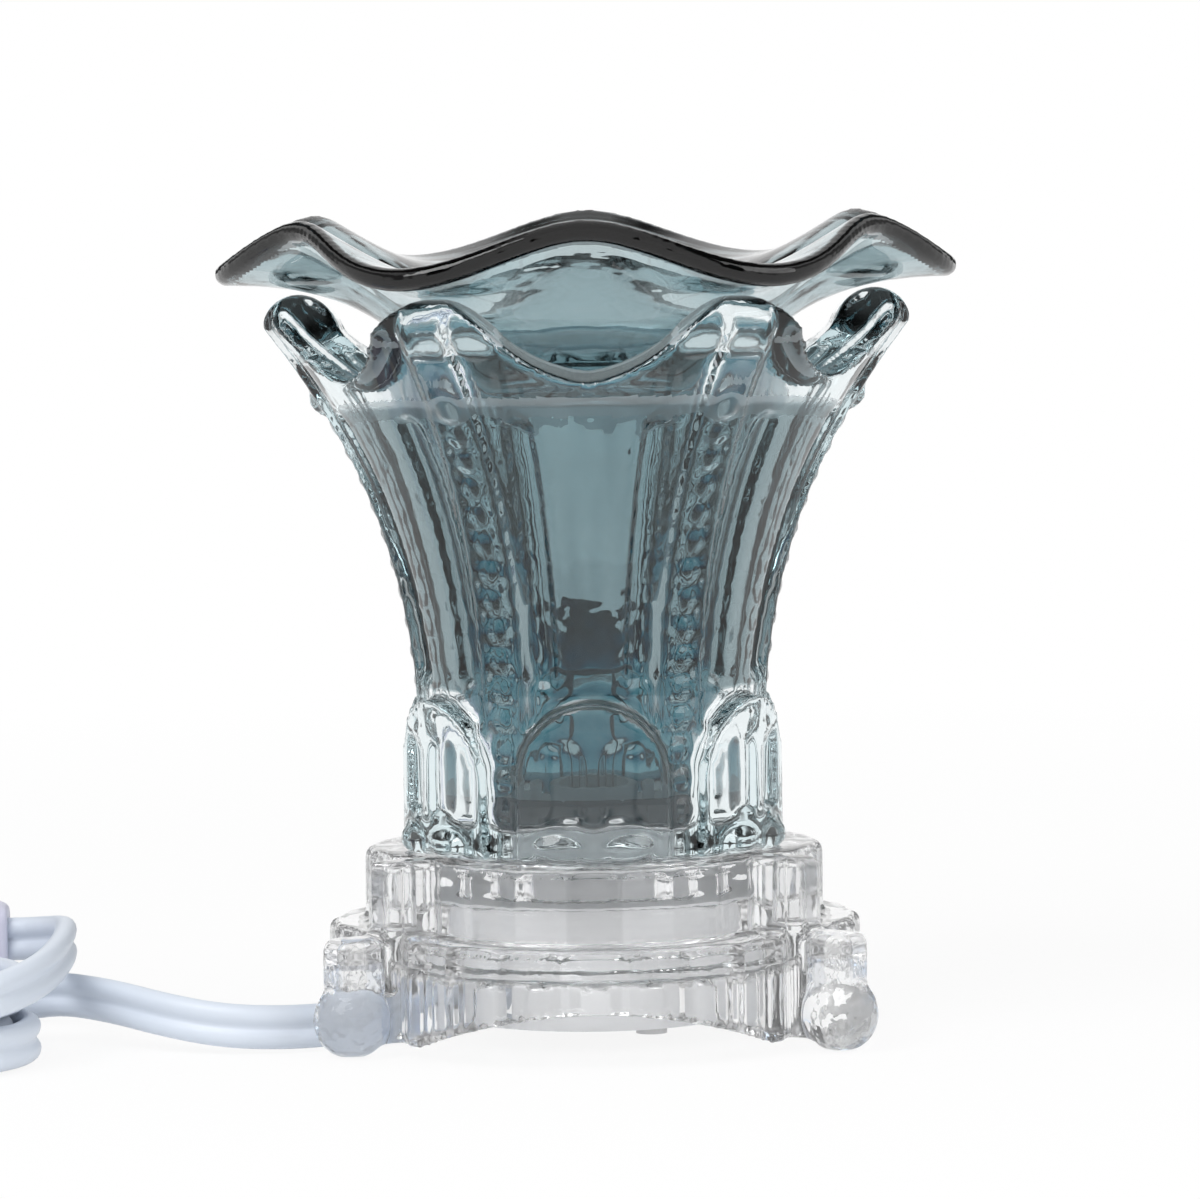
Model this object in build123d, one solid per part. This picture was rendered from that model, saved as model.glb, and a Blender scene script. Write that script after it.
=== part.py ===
from build123d import *
import os
from math import ceil, cos, hypot, pi, radians, sin, tan

# Wax melt warmer: a ruffled glass dish on a flared pressed-glass body with six horns, on a clear
# three-lobed base that hides the lamp holder. Millimetres, Z up, floor at Z 0, front towards -Y.
# Angles are counted from the front, positive towards +X.

# Repeats round the axis
PANELS = 6
LOBES = 3

# Clearances
SEAT_GAP = 0.3
SLIDE_GAP = 0.12
THREAD_GAP = 0.05
HOLE_GAP = 0.5
CORD_GAP = 0.9

# Clear base
BASE_HEIGHT = 29.3
TIER_HEIGHT = 18.0
SKIRT_BOTTOM = 1.8
ARCH_RISE = 6.5
ARCH_HALF_WIDTH = 27.0
LOBE_OFFSET = 11.0
LOWER_LOBE_RADIUS = 31.7
UPPER_LOBE_RADIUS = 26.0
LOBE_FACETS = 20
BASE_WALL = 5.0
TOP_PLATE = 6.7
EDGE_ROUND = 1.8
EAR_WIDTH = 7.4
LOWER_EAR_REACH = 46.5
UPPER_EAR_REACH = 38.6
FOOT_RADIUS = 5.9
FOOT_CIRCLE = 43.0
FOOT_FLAT = 0.5

# Socket cup inside the base
CUP_RADIUS = 22.0
CUP_WALL = 2.0
CUP_FLOOR_Z = 5.0
COVER_THICKNESS = 1.8
NECK_RADIUS = 9.8
NECK_WALL = 1.6
NECK_RISE = 10.0
LEDGE_WIDTH = 1.6
LEDGE_THICKNESS = 1.6
LOCK_RING_RADIUS = 14.0
LOCK_RING_HEIGHT = 3.4
LOCK_RING_NOTCHES = 12
LOCK_NOTCH_RADIUS = 1.2
SCREW_RADIUS = 1.2
SCREW_HEAD_RADIUS = 2.4
SCREW_HEAD_HEIGHT = 1.2
SCREW_SLOT = 0.6
COVER_SCREW_CIRCLE = 17.0
COVER_SCREW_LENGTH = 9.0
COVER_SCREW_TURN = 30.0
COVER_RINGS = (4.0, 8.0)
COVER_RING_WIDTH = 0.8
COVER_RING_DEPTH = 0.5
BOSS_RADIUS = 3.5

# Lamp holder and capsule bulb
HOLDER_HEIGHT = 13.5
HOLDER_ROUND = 0.8
PIN_SPACING = 6.35
PIN_RADIUS = 0.6
PIN_LENGTH = 7.5
PIN_SEAT = 3.0
SLEEVE_WALL = 0.6
SLEEVE_LENGTH = 8.5
SLEEVE_COVER = 1.0
WIRE_RADIUS = 0.9
WIRE_BEND = 2.0
WIRE_DROP = 4.0
SPLICE_RADIUS = 2.1
SPLICE_LENGTH = 9.0
SPLICE_ROUND = 1.26
SPLICE_SPACING = 9.0
SPLICE_OFFSET = 6.0
BULB_RADIUS = 6.0
BULB_LENGTH = 38.0
BULB_SHOULDER = 2.0
PINCH_HEIGHT = 8.0
PINCH_THICKNESS = 3.4
PINCH_WIDTH = 10.2
PINCH_ROUND = 0.8
BULB_WALL = 1.0
FILAMENT_RADIUS = 0.5
FILAMENT_SPAN = 7.0
SUPPORT_RADIUS = 0.35
SUPPORT_HOLE_RISE = 2.0

# Glass body
BODY_FLOOR = 4.0
HORN_TOP = 115.4
WAIST_RADIUS = 27.2
HORN_RADIUS = 50.0
BODY_WALL = 6.8
WAIST_LINE = [(0.1, 0.0), (-0.1, 15.0), (0.3, 27.0), (2.2, 39.0)]
FLARE_LINE = [(6.6, 32.4), (14.3, 17.1)]
INNER_WAIST_LINE = [(0.0, 18.0), (1.0, 32.0)]
INNER_FLARE_LINE = [(4.8, 32.4), (11.0, 14.4)]
FOOT_NARROWING = 0.6
HORN_THICKNESS = 12.0
HORN_OUTER_DROP = 5.0
HORN_INNER_DROP = 6.0
CROWN_INSET = 5.4
RIB_HEIGHT = 1.4
RIB_WIDTH = 7.6
CHANNEL_WIDTH = 4.4
CHANNEL_DEPTH = 0.9
FLUTE_WIDTH = 4.4
FLUTE_DEPTH = 1.2
FLUTE_TOP = 97.5
FLUTE_BOTTOM = 56.0
FLUTE_ANGLE = 16.0
DIP_HEIGHT = 102.2
DIP_INSET = 5.0
HORN_ANGLE = 2.0
CREST_LIFT = 0.3
NOTCH_NEAR = 20.0
NOTCH_MARGIN = 8.0
NOTCH_HEADROOM = 6.0
NOTCH_FALL = 11.0
NOTCH_V = 0.15
NOTCH_MIDDLE = (0.55, 0.5)
TAB_WIDTH = 23.0
TAB_TOP = 53.5
TAB_RADIUS = 29.6
TAB_ROUND = 2.0
WINDOW_WIDTH = 6.6
WINDOW_TOP = 48.0
WINDOW_BOTTOM = 36.0
WINDOW_DEPTH = 1.0
WINDOW_OFFSET = 4.6

# Ruffled dish; its lines give the distance in from the rim, up from the floor and the ruffle's share
DISH_DROP = 14.0
DISH_FLOOR_RADIUS = 17.2
DISH_FLOOR_STEP = 0.6
DISH_FLOOR_LAP = 1.2
DISH_FOOT = 0.8
DISH_THICKNESS = 3.8
DISH_RIM_RADIUS = 54.2
RUFFLE_REACH = 3.1
RUFFLE_HEIGHT = 3.4
RUFFLE_STEPS = 8
DISH_RIM_RISE = 18.7
DISH_TOP_LINE = [
    (30.2, 3.8, 0.06),
    (22.7, 9.4, 0.15),
    (16.2, 13.6, 0.35),
    (8.7, 16.6, 0.7),
    (2.0, 18.6, 1),
]
DISH_UNDER_LINE = [
    (1.8, 18.9, 1),
    (7.7, 17.5, 0.7),
    (15.9, 14.2, 0.35),
    (22.2, 10.2, 0.15),
    (29.2, 4.2, 0.06),
]

# Flat twin cord, standing on its edge, and its plug
CORD_WIDTH = 6.8
CORD_THICKNESS = 3.4
HANK_PITCH = 4.2
HANK_LAYER_GAP = 0.6
HANK_RUN = 66.0
HANK_OUTER_RADIUS = 24.0
HANK_LOOPS = 3
HANK_RIGHT_X = -108.0
HANK_FAR_Y = 2.0
RUN_SHARE = 0.45
PLUG_LENGTH = 34.0
PLUG_HEIGHT = 28.0
PLUG_THICKNESS = 17.0
PLUG_NOSE_WALL = 2.0
PLUG_SHOULDER = (0.42, 0.8, 0.9)
PLUG_ROUND = 0.3
PLUG_NOSE_X = -92.5
PLUG_Y = 16.0
BLADE_LENGTH = 17.5
BLADE_THICKNESS = 1.5
BLADE_WIDTH = 6.3
WIDE_BLADE_WIDTH = 7.9
BLADE_SPACING = 12.7
BLADE_SEAT = 6.0
BLADE_TIP_ROUND = 0.3
BLADE_HOLE_RADIUS = 1.5
BLADE_HOLE_INSET = 4.0
CORD_SEAT = 5.0

# Heights that follow from the sizes above
CEILING_Z = BASE_HEIGHT - TOP_PLATE
CUP_TOP = CEILING_Z
NECK_TOP = BASE_HEIGHT + NECK_RISE
COVER_Z = CUP_FLOOR_Z - COVER_THICKNESS
NECK_BORE = NECK_RADIUS - NECK_WALL
LEDGE_TOP = CEILING_Z + LEDGE_THICKNESS
HOLDER_TOP = LEDGE_TOP + HOLDER_HEIGHT
HOLDER_RADIUS = NECK_BORE - SLIDE_GAP
BULB_BOTTOM = HOLDER_TOP + SEAT_GAP
BODY_INNER_FLOOR = BASE_HEIGHT + BODY_FLOOR
SLEEVE_RADIUS = PIN_RADIUS + SLIDE_GAP + SLEEVE_WALL
SLEEVE_TOP = HOLDER_TOP - SLEEVE_COVER
SLEEVE_BOTTOM = SLEEVE_TOP - SLEEVE_LENGTH
DISH_FLOOR_Z = HORN_TOP - DISH_DROP

# Where the cord leaves the base, and the routes of its free stretches, laid by hand
CORD_AXIS_Z = CORD_WIDTH / 2 + SEAT_GAP
CORD_EXIT = (-35.0, -10.9, CORD_AXIS_Z)
CORD_EXIT_TURN = 21.0
CORD_INLET_TURN = 17.0
CORD_START_Z = 9.6
HANK_NEAR_Y = HANK_FAR_Y - 2 * HANK_OUTER_RADIUS
HANK_TOP_Z = CORD_AXIS_Z + CORD_WIDTH + HANK_LAYER_GAP
LEAD_ROUTE = [
    (-20.4, -6.0, CORD_START_Z),
    (-27.0, -8.0, 7.6),
    (-33.0, -10.0, 4.6),
    (-40.0, -13.0, CORD_AXIS_Z),
    (-48.0, -16.2, CORD_AXIS_Z),
    (-57.0, -17.0, CORD_AXIS_Z + 0.5),
    (-66.0, -13.5, CORD_AXIS_Z + 1.8),
    (-75.0, -6.5, CORD_AXIS_Z + 3.3),
    (-84.5, 0.0, CORD_AXIS_Z + 3.9),
    (-94.0, HANK_FAR_Y, CORD_AXIS_Z + 1.4),
    (-101.0, HANK_FAR_Y, CORD_AXIS_Z),
    (HANK_RIGHT_X, HANK_FAR_Y, CORD_AXIS_Z),
]
TAIL_ROUTE = [
    (HANK_RIGHT_X, HANK_NEAR_Y, HANK_TOP_Z),
    (-97.0, HANK_NEAR_Y, HANK_TOP_Z),
    (-88.4, -37.5, HANK_TOP_Z + 1.2),
    (-83.7, -25.5, HANK_TOP_Z + 2.6),
    (-82.1, -12.5, HANK_TOP_Z + 3.8),
    (-82.0, -1.0, HANK_TOP_Z + 4.6),
    (-83.0, 6.6, PLUG_HEIGHT / 2 + 1.4),
    (-85.8, 12.6, PLUG_HEIGHT / 2 + 0.6),
    (-90.6, PLUG_Y, PLUG_HEIGHT / 2),
    (PLUG_NOSE_X - CORD_SEAT, PLUG_Y, PLUG_HEIGHT / 2),
]

FROM_BOTTOM = (Align.CENTER, Align.CENTER, Align.MIN)


def heading(turn):
    """The level direction that is turned from the front."""
    return Vector(sin(radians(turn)), -cos(radians(turn)), 0)


def upright(turn, reach=0.0):
    """A plane that faces outwards, with its own X level and its own Y up."""
    out = heading(turn)
    return Plane(origin=out * reach, x_dir=(cos(radians(turn)), sin(radians(turn)), 0), z_dir=out)


def radial(turn):
    """A plane through the axis: its own X points outwards and its own Y up."""
    out = heading(turn)
    return Plane(origin=(0, 0, 0), x_dir=out, z_dir=out.cross(Vector(0, 0, 1)))


def drum(radius, low, high):
    return Pos(0, 0, low) * Cylinder(radius, high - low, align=FROM_BOTTOM)


def tube(outer, inner, low, high):
    return drum(outer, low, high) - drum(inner, low - 1, high + 1)


def lobe(radius, low, high, turn):
    """One fluted lobe of the base, with a flat facet to the front and a rounded top edge."""
    half_facet = 180 / LOBE_FACETS
    outline = Rot(0, 0, -90 + half_facet) * RegularPolygon(radius / cos(radians(half_facet)), LOBE_FACETS)
    block = extrude(Pos(0, 0, low) * outline, high - low)
    block = fillet(block.faces().sort_by(Axis.Z)[-1].edges(), EDGE_ROUND)
    return Rot(0, 0, turn) * Pos(0, -LOBE_OFFSET, 0) * block


def ear(reach, low, high, turn):
    """A square post in the corner between two lobes, rounded at its outer end."""
    block = Pos(0, -reach / 2, low) * Box(EAR_WIDTH, reach, high - low, align=FROM_BOTTOM)
    outer_end = block.faces().sort_by(Axis.Y)[0].edges().filter_by(Axis.Z)
    top = block.faces().sort_by(Axis.Z)[-1].edges()
    block = fillet(outer_end + top, EDGE_ROUND)
    return Rot(0, 0, turn) * block


def three_lobes(radius, low, high):
    shape = drum(radius, low, high)
    for k in range(LOBES):
        shape += Rot(0, 0, 360 / LOBES * k) * Pos(0, -LOBE_OFFSET, 0) * drum(radius, low, high)
    return shape


def cord_bore():
    """The notch in the skirt that the cord leaves through."""
    return Pos(*CORD_EXIT) * Rot(0, 0, CORD_EXIT_TURN) * Pos(0, 0, -CORD_EXIT[2]) * Box(
        4 * BASE_WALL, CORD_THICKNESS + 2 * CORD_GAP, 2 * (CORD_WIDTH + 2 * CORD_GAP)
    )


def clear_base():
    shape = three_lobes(UPPER_LOBE_RADIUS - BASE_WALL, SKIRT_BOTTOM, BASE_HEIGHT)
    for k in range(LOBES):
        turn = 360 / LOBES * k
        shape += lobe(LOWER_LOBE_RADIUS, SKIRT_BOTTOM, TIER_HEIGHT, turn)
        shape += lobe(UPPER_LOBE_RADIUS, TIER_HEIGHT - 1, BASE_HEIGHT, turn)
        shape += ear(LOWER_EAR_REACH, SKIRT_BOTTOM, TIER_HEIGHT, turn + 180)
        shape += ear(UPPER_EAR_REACH, TIER_HEIGHT - 1, BASE_HEIGHT, turn + 180)
    shape -= three_lobes(LOWER_LOBE_RADIUS - BASE_WALL, 0, TIER_HEIGHT - BASE_WALL)
    shape -= drum(CUP_RADIUS + HOLE_GAP, 0, CEILING_Z)
    shape -= drum(NECK_RADIUS + HOLE_GAP, 0, BASE_HEIGHT + 1)
    arch_radius = (ARCH_HALF_WIDTH**2 + ARCH_RISE**2) / (2 * ARCH_RISE)
    arch = Pos(0, 0, SKIRT_BOTTOM + ARCH_RISE - arch_radius) * Rot(90, 0, 0) * Cylinder(
        arch_radius, LOWER_EAR_REACH + LOBE_OFFSET, align=FROM_BOTTOM
    )
    for k in range(LOBES):
        shape -= Rot(0, 0, 360 / LOBES * k) * arch
    shape -= cord_bore()
    foot = Pos(0, 0, FOOT_RADIUS - FOOT_FLAT) * Sphere(FOOT_RADIUS)
    foot -= drum(2 * FOOT_RADIUS, -FOOT_RADIUS, 0)
    for k in range(LOBES):
        shape += Rot(0, 0, 360 / LOBES * k + 180) * Pos(0, -FOOT_CIRCLE, 0) * foot
    return shape


def outer_line(shift):
    """The body's outer line from the floor to the horn's tip, moved outwards by shift."""
    points = [(WAIST_RADIUS + out + shift, BASE_HEIGHT + up) for out, up in WAIST_LINE]
    points += [(WAIST_RADIUS + out + shift, HORN_TOP - down) for out, down in FLARE_LINE]
    return Spline(*points, (HORN_RADIUS + shift, HORN_TOP - HORN_OUTER_DROP))


def inner_line():
    """The body's inner line from its floor to the horn's tip."""
    bore = WAIST_RADIUS - BODY_WALL
    points = [(bore - FOOT_NARROWING, BODY_INNER_FLOOR)]
    points += [(bore + out, BASE_HEIGHT + up) for out, up in INNER_WAIST_LINE]
    points += [(bore + out, HORN_TOP - down) for out, down in INNER_FLARE_LINE]
    return Spline(*points, (HORN_RADIUS - HORN_THICKNESS, HORN_TOP - HORN_INNER_DROP))


def walled_shell(shift):
    outer = outer_line(shift)
    inner = inner_line()
    crown = (HORN_RADIUS - CROWN_INSET, HORN_TOP)
    round_outside = TangentArc(crown, outer @ 1, tangent=(1, 0))
    round_inside = TangentArc(crown, inner @ 1, tangent=(-1, 0))
    hole = NECK_RADIUS + HOLE_GAP
    under = Line(outer @ 0, (hole, BASE_HEIGHT))
    bore = Line(under @ 1, (hole, BODY_INNER_FLOOR))
    floor = Line(bore @ 1, inner @ 0)
    outline = [outer, round_outside, round_inside, inner, floor, bore, under]
    return revolve(radial(90) * make_face(outline), Axis.Z)


def solid_within(shift):
    """Everything inside the body's outer line, used to cut no deeper than that line."""
    outer = outer_line(shift)
    lid = Line(outer @ 1, (0, (outer @ 1).Y))
    axis = Line(lid @ 1, (0, BASE_HEIGHT))
    return revolve(radial(90) * make_face([outer, lid, axis, Line(axis @ 1, outer @ 0)]), Axis.Z)


def panel_turns():
    return [360 / PANELS * k for k in range(PANELS)]


def rib_turns():
    return [360 / PANELS * (k + 0.5) for k in range(PANELS)]


def slabs(width, low, high, turns, near=0.0, far=HORN_RADIUS + 10):
    """Upright slabs that stand out from the axis at each turn."""
    bars = []
    for turn in turns:
        bar = Pos(0, -(near + far) / 2, low) * Box(width, far - near, high - low, align=FROM_BOTTOM)
        bars.append(Rot(0, 0, turn) * bar)
    return bars


def rim_notch(turn):
    """The dip between two horns: an S each way from the dip to a crest, falling outwards."""
    slope = radians(NOTCH_FALL)
    at_dip = HORN_RADIUS - DIP_INSET
    place = Plane(
        origin=(0, -NOTCH_NEAR, DIP_HEIGHT + (at_dip - NOTCH_NEAR) * tan(slope)),
        x_dir=(1, 0, 0),
        z_dir=(0, -cos(slope), -sin(slope)),
    )
    half = at_dip * tan(radians(180 / PANELS - HORN_ANGLE))
    rise = HORN_TOP + CREST_LIFT - DIP_HEIGHT
    top = rise + NOTCH_HEADROOM
    outline = [Polyline((half, rise), (half, top), (-half, top), (-half, rise))]
    for side in (-1, 1):
        middle = (side * half * NOTCH_MIDDLE[0], rise * NOTCH_MIDDLE[1])
        dip_arc = TangentArc((0, 0), middle, tangent=(side, NOTCH_V))
        outline += [dip_arc, TangentArc(middle, (side * half, rise), tangent=dip_arc % 1)]
    cutter = extrude(place * make_face(outline), (HORN_RADIUS + NOTCH_MARGIN - NOTCH_NEAR) / cos(slope))
    return Rot(0, 0, turn) * cutter


def arch_face(width, low, high):
    """An upright arch: straight sides under a half round."""
    half = width / 2
    spring = high - half
    sides = Polyline((-half, spring), (-half, low), (half, low), (half, spring))
    return make_face([sides, ThreePointArc((half, spring), (0, high), (-half, spring))])


def glass_body():
    shell = walled_shell(-RIB_HEIGHT)
    ribbed = walled_shell(0)
    channel_floor = solid_within(-CHANNEL_DEPTH)
    bars = slabs(RIB_WIDTH, BASE_HEIGHT, HORN_TOP + 1, rib_turns(), near=WAIST_RADIUS / 2)
    channels = slabs(CHANNEL_WIDTH, BASE_HEIGHT - 1, FLUTE_TOP, rib_turns(), near=WAIST_RADIUS / 2)
    for bar, channel in zip(bars, channels):
        shell += (ribbed & bar) - (channel - channel_floor)
    shell = shell - [rim_notch(turn) for turn in panel_turns()]
    flute_floor = solid_within(-RIB_HEIGHT - FLUTE_DEPTH)
    for turn in panel_turns():
        for side in (-1, 1):
            slot = arch_face(FLUTE_WIDTH, FLUTE_BOTTOM, FLUTE_TOP)
            cutter = extrude(upright(turn + side * FLUTE_ANGLE, WAIST_RADIUS / 2) * slot, HORN_RADIUS)
            shell -= cutter - flute_floor
    tab_limit = fillet(drum(TAB_RADIUS, BASE_HEIGHT, TAB_TOP + 1).edges().sort_by(Axis.Z)[0], TAB_ROUND)
    for turn in panel_turns():
        arch = upright(turn, WAIST_RADIUS - BODY_WALL / 2) * arch_face(TAB_WIDTH, BASE_HEIGHT, TAB_TOP)
        tab = extrude(arch, BODY_WALL) & tab_limit
        for side in (-1, 1):
            window = Pos(side * WINDOW_OFFSET, 0) * arch_face(WINDOW_WIDTH, WINDOW_BOTTOM, WINDOW_TOP)
            tab -= extrude(upright(turn, TAB_RADIUS - WINDOW_DEPTH) * window, BODY_WALL)
        shell += tab
    return shell


def wax_dish():
    """Lofted from one crest of the ruffle to the next, then repeated round a thicker floor."""
    def section(turn):
        wave = cos(radians(PANELS * turn))

        def at(from_rim, from_floor, share):
            reach = DISH_RIM_RADIUS - from_rim - share**2 * RUFFLE_REACH * wave
            return (reach, DISH_FLOOR_Z + from_floor + share * RUFFLE_HEIGHT * wave)

        inset = DISH_RIM_RADIUS - DISH_FLOOR_RADIUS + DISH_FLOOR_LAP
        upper = [at(back, DISH_THICKNESS + up, share) for back, up, share in DISH_TOP_LINE]
        lower = [at(*place) for place in DISH_UNDER_LINE]
        top = Spline(at(inset, DISH_THICKNESS, 0), *upper)
        rim = ThreePointArc(upper[-1], at(0, DISH_THICKNESS / 2 + DISH_RIM_RISE, 1), lower[0])
        under = Spline(*lower, at(inset, 0, 0))
        return radial(turn) * make_face([top, rim, under, Line(under @ 1, top @ 0)])

    ruffle = 360 / PANELS
    sector = loft([section(ruffle * k / RUFFLE_STEPS) for k in range(RUFFLE_STEPS + 1)])
    floor_low = DISH_FLOOR_Z - DISH_FOOT
    dish = drum(DISH_FLOOR_RADIUS, floor_low, DISH_FLOOR_Z + DISH_THICKNESS + DISH_FLOOR_STEP)
    for turn in panel_turns():
        dish += Rot(0, 0, turn) * sector
    return dish


def socket_cup():
    shape = tube(CUP_RADIUS, CUP_RADIUS - CUP_WALL, CUP_FLOOR_Z, CUP_TOP)
    shape += tube(CUP_RADIUS - CUP_WALL / 2, NECK_BORE, CUP_TOP - CUP_WALL, CUP_TOP)
    shape += tube(NECK_RADIUS, NECK_BORE, CUP_TOP - CUP_WALL, NECK_TOP)
    shape += tube(NECK_RADIUS - NECK_WALL / 2, NECK_BORE - LEDGE_WIDTH, CEILING_Z, LEDGE_TOP)
    for turn in cover_screw_turns():
        spot = heading(turn) * COVER_SCREW_CIRCLE
        boss = tube(BOSS_RADIUS, SCREW_RADIUS + THREAD_GAP, CUP_FLOOR_Z, CUP_TOP - CUP_WALL / 2)
        shape += Pos(spot.X, spot.Y, 0) * boss
    inlet = Pos(*LEAD_ROUTE[0]) * Rot(0, 0, CORD_INLET_TURN)
    shape -= inlet * Box(4 * CUP_WALL, CORD_THICKNESS + 2 * HOLE_GAP, CORD_WIDTH + 2 * CORD_GAP)
    return shape


def cover_screw_turns():
    return [360 / LOBES * k + COVER_SCREW_TURN for k in range(LOBES)]


def bottom_cover():
    shape = drum(CUP_RADIUS, COVER_Z, CUP_FLOOR_Z)
    for turn in cover_screw_turns():
        spot = heading(turn) * COVER_SCREW_CIRCLE
        shape -= Pos(spot.X, spot.Y, 0) * drum(SCREW_RADIUS + SLIDE_GAP, COVER_Z - 1, CUP_FLOOR_Z + 1)
    for radius in COVER_RINGS:
        shape -= tube(radius + COVER_RING_WIDTH, radius, COVER_Z - 1, COVER_Z + COVER_RING_DEPTH)
    return shape


def screw(head_z, length):
    """A screw that points up, with its head's face on head_z."""
    head = drum(SCREW_HEAD_RADIUS, head_z - SCREW_HEAD_HEIGHT, head_z)
    slot = Box(3 * SCREW_HEAD_RADIUS, SCREW_SLOT, SCREW_HEAD_HEIGHT)
    head -= Pos(0, 0, head_z - SCREW_HEAD_HEIGHT) * slot
    return head + drum(SCREW_RADIUS, head_z - SCREW_HEAD_HEIGHT / 4, head_z + length)


def cover_screws():
    one = screw(COVER_Z, COVER_SCREW_LENGTH)
    spots = [heading(turn) * COVER_SCREW_CIRCLE for turn in cover_screw_turns()]
    return Compound([Pos(spot.X, spot.Y, 0) * one for spot in spots])


def lock_ring():
    top = BODY_INNER_FLOOR + LOCK_RING_HEIGHT
    ring = tube(LOCK_RING_RADIUS, NECK_RADIUS + THREAD_GAP, BODY_INNER_FLOOR, top)
    for k in range(LOCK_RING_NOTCHES):
        notch = Rot(0, 0, 360 / LOCK_RING_NOTCHES * k) * Pos(0, -LOCK_RING_RADIUS, top)
        ring -= notch * Cylinder(LOCK_NOTCH_RADIUS, 4 * LOCK_RING_HEIGHT)
    return ring


def pin_spots():
    return [(-PIN_SPACING / 2, 0), (PIN_SPACING / 2, 0)]


def lamp_holder():
    """A ceramic block with a hole for each pin's sleeve, wider below for the wire."""
    block = drum(HOLDER_RADIUS, LEDGE_TOP, HOLDER_TOP)
    block = fillet(block.edges().sort_by(Axis.Z)[-1], HOLDER_ROUND)
    for x, y in pin_spots():
        block -= Pos(x, y, 0) * drum(SLEEVE_RADIUS + THREAD_GAP, LEDGE_TOP - 1, HOLDER_TOP - SLEEVE_COVER)
        block -= Pos(x, y, 0) * drum(PIN_RADIUS + 2 * SLIDE_GAP, LEDGE_TOP, HOLDER_TOP + 1)
    return block


def contact_sleeves():
    sleeves = []
    for x, y in pin_spots():
        sleeve = drum(SLEEVE_RADIUS, SLEEVE_BOTTOM, SLEEVE_TOP)
        sleeve -= drum(PIN_RADIUS + SLIDE_GAP, SLEEVE_BOTTOM + 1, SLEEVE_TOP + 1)
        sleeves.append(Pos(x, y, 0) * sleeve)
    return Compound(sleeves)


def round_wire(radius, points, bends):
    path = FilletPolyline(*points, radius=bends)
    start = Plane(origin=path @ 0, z_dir=path % 0)
    return sweep(start * Circle(radius), path=path)


def lead_wire(side):
    """From under a contact sleeve to the mouth of its splice."""
    x = side * PIN_SPACING / 2
    mouth = splice_mouth(side)
    low = mouth[2]
    points = [(x, 0, SLEEVE_BOTTOM), (x, 0, low + WIRE_DROP), (x, mouth[1], low), mouth]
    return round_wire(WIRE_RADIUS, points, [WIRE_BEND, WIRE_BEND])


def splice_mouth(side):
    return (-SPLICE_OFFSET, side * SPLICE_SPACING / 2, CUP_FLOOR_Z + SPLICE_RADIUS + SEAT_GAP)


def wire_splices():
    """Closed-end crimp caps on the joints between the wires and the cord's cores."""
    caps = []
    for side in (-1, 1):
        mouth = splice_mouth(side)
        cap = Cylinder(SPLICE_RADIUS, SPLICE_LENGTH, align=FROM_BOTTOM)
        cap = fillet(cap.edges().sort_by(Axis.Z)[-1], SPLICE_ROUND)
        caps.append(Pos(*mouth) * Rot(0, -90, 0) * cap)
    return Compound(caps)


def bulb_glass():
    """A capsule with a flat pinch at its foot, hollow above the pinch."""
    top = BULB_BOTTOM + BULB_LENGTH
    dome_z = top - BULB_RADIUS
    low = BULB_BOTTOM + PINCH_HEIGHT
    shell = drum(BULB_RADIUS, low, dome_z) + Pos(0, 0, dome_z) * Sphere(BULB_RADIUS)
    shell = fillet(shell.edges().sort_by(Axis.Z)[0], BULB_SHOULDER)
    inside = drum(BULB_RADIUS - BULB_WALL, low + BULB_WALL, dome_z)
    inside += Pos(0, 0, dome_z) * Sphere(BULB_RADIUS - BULB_WALL)
    pinch = Box(PINCH_WIDTH, PINCH_THICKNESS, PINCH_HEIGHT + BULB_WALL, align=FROM_BOTTOM)
    pinch = Pos(0, 0, BULB_BOTTOM) * fillet(pinch.edges().filter_by(Axis.Z), PINCH_ROUND)
    glass = shell - inside + pinch
    for x, y in pin_spots():
        glass -= Pos(x, y, 0) * drum(PIN_RADIUS, BULB_BOTTOM - 1, BULB_BOTTOM + PIN_SEAT)
        glass -= Pos(x, y, 0) * drum(SUPPORT_RADIUS, BULB_BOTTOM, low + SUPPORT_HOLE_RISE)
    return glass


def bulb_pins():
    pins = []
    for x, y in pin_spots():
        pin = drum(PIN_RADIUS, BULB_BOTTOM - PIN_LENGTH, BULB_BOTTOM + PIN_SEAT)
        pins.append(Pos(x, y, 0) * pin)
    return Compound(pins)


def bulb_filament():
    """Two support wires that rise from the pins and carry a coil between them."""
    low = BULB_BOTTOM + PIN_SEAT
    high = BULB_BOTTOM + BULB_LENGTH / 2
    shape = Pos(0, 0, high) * Rot(0, 90, 0) * Cylinder(FILAMENT_RADIUS, FILAMENT_SPAN)
    for x, y in pin_spots():
        shape += Pos(x, y, 0) * drum(SUPPORT_RADIUS, low, high)
    return shape


def cord_face(start, towards):
    """The flat twin's section, wide way up, square to where the cord is going."""
    plane = Plane(origin=start, x_dir=Vector(0, 0, 1), z_dir=towards)
    return plane * SlotOverall(CORD_WIDTH, CORD_THICKNESS)


def cord_along(path, name):
    solid = sweep(cord_face(path @ 0, path % 0), path=path)
    share = solid.volume / (cord_area() * path.length)
    print(name, "length", round(path.length, 1), "volume over section times length", round(share, 4))
    return solid


def cord_stretch(points, name):
    radii = route_radii(points)
    print(name, "radii", [round(radius, 1) for radius in radii])
    return cord_along(FilletPolyline(*points, radius=radii), name)


def cord_hank():
    path = hank_path()
    print("cord_hank least gap", round(least_gap(path, CORD_THICKNESS), 2))
    return cord_along(path, "cord_hank")


def cord_area():
    return (CORD_WIDTH - CORD_THICKNESS) * CORD_THICKNESS + pi * CORD_THICKNESS**2 / 4


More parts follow.
